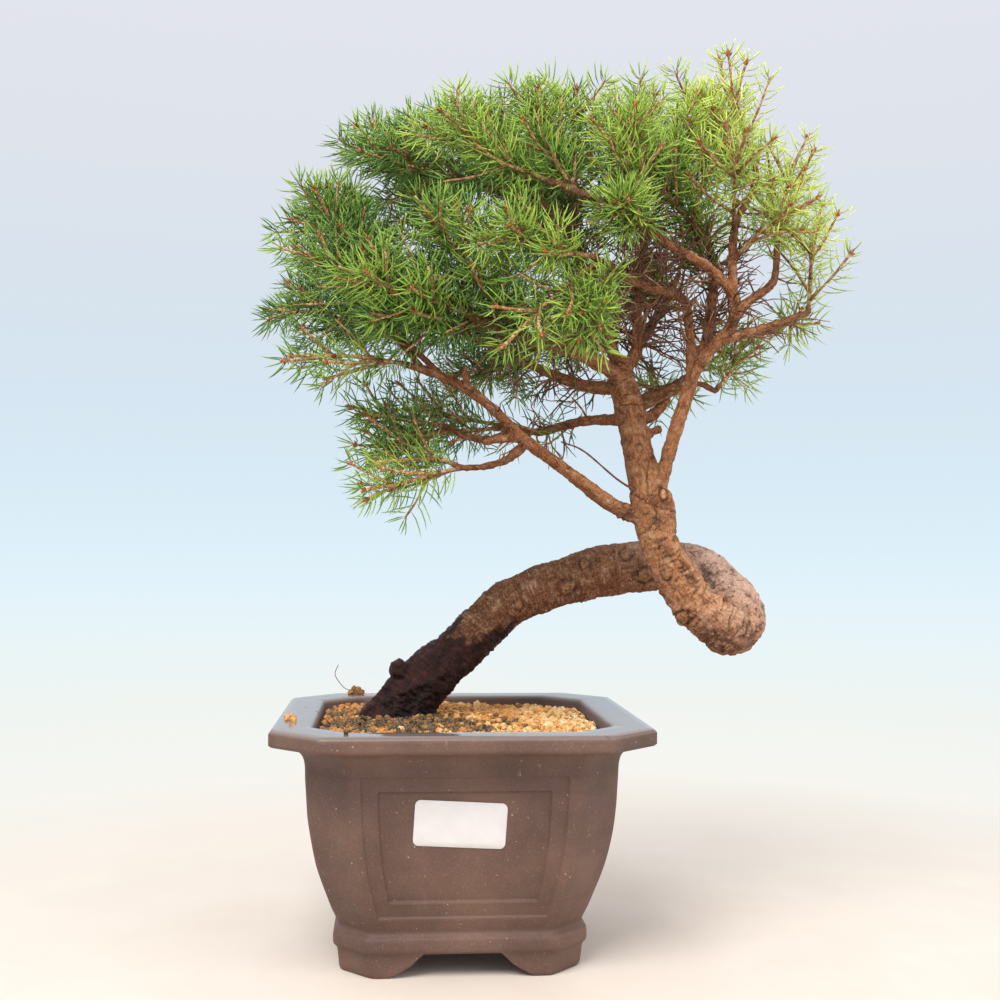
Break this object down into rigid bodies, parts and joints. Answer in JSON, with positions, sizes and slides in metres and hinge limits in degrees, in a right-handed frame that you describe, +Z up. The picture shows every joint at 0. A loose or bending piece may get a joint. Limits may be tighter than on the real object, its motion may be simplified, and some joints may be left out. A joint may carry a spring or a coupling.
{
  "type": "spruce bonsai",
  "caption": "Spruce bonsai with an arched, looping trunk and a dense needled crown, growing in a square four-footed clay pot.",
  "frame": {"origin": "on the resting surface, under the middle of the whole tree and pot", "axes": "+Z up, +X to the right of the pot's front, +Y from the front to the back"},
  "size_m": [0.297, 0.2165, 0.4357],
  "materials": {
    "pot_clay": "unglazed fired clay, matt purplish brown, damp rim",
    "net_plastic": "moulded plastic drain net, black",
    "akadama": "loose baked clay granules, orange to tan, damp",
    "bark": "living spruce bark, flaky, damp and dark at the foot",
    "needles": "living spruce needles on slim golden-brown twigs, satin",
    "label_paper": "blank white coated paper sticker"
  },
  "bodies": {
    "root": {"pot": "pot_clay", "drain_mesh": "net_plastic", "soil": "akadama", "tree": "bark", "blank_label": "label_paper", "spray_01": "needles", "spray_02": "needles", "spray_03": "needles", "spray_04": "needles", "spray_05": "needles", "spray_06": "needles", "spray_07": "needles", "spray_08": "needles", "spray_09": "needles", "spray_10": "needles", "spray_11": "needles", "spray_12": "needles", "spray_13": "needles", "spray_14": "needles", "spray_15": "needles", "spray_16": "needles", "spray_17": "needles", "spray_18": "needles", "spray_19": "needles", "spray_20": "needles", "spray_21": "needles", "spray_22": "needles", "spray_23": "needles", "spray_24": "needles", "spray_25": "needles", "spray_26": "needles", "spray_27": "needles", "spray_28": "needles", "spray_29": "needles", "spray_30": "needles", "spray_31": "needles", "spray_32": "needles", "spray_33": "needles", "spray_34": "needles", "spray_35": "needles", "spray_36": "needles", "spray_37": "needles", "spray_38": "needles", "spray_39": "needles", "spray_40": "needles", "spray_41": "needles", "spray_42": "needles", "spray_43": "needles", "spray_44": "needles", "spray_45": "needles", "spray_46": "needles", "spray_47": "needles", "spray_48": "needles", "spray_49": "needles", "spray_50": "needles", "spray_51": "needles", "spray_52": "needles"}
  },
  "joints": []
}
